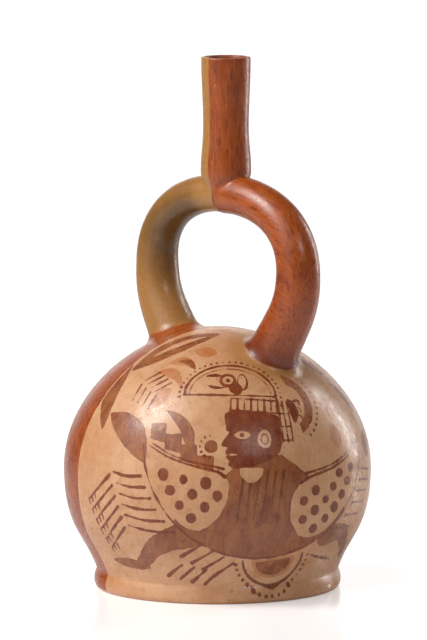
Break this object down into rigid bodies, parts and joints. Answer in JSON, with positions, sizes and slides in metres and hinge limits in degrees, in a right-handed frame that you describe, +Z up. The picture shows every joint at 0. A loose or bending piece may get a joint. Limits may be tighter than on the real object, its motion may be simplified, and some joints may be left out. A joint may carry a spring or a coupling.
{
  "type": "stirrup spout vessel",
  "caption": "Hollow fired clay bottle: a round chamber on a low ring foot, a tubular stirrup handle that carries an upright spout, painted in red slip over cream.",
  "frame": {"origin": "on the floor, at the chamber's upright axis", "axes": "+Z up, the stirrup stands in the XZ plane, +X towards the arm in red slip, -X towards the arm in cream slip"},
  "size_m": [0.1648, 0.1648, 0.285],
  "materials": {
    "slipped_clay": "fired clay under burnished cream slip with painting in red brown slip, satin"
  },
  "bodies": {
    "root": {"vessel": "slipped_clay"}
  },
  "joints": []
}
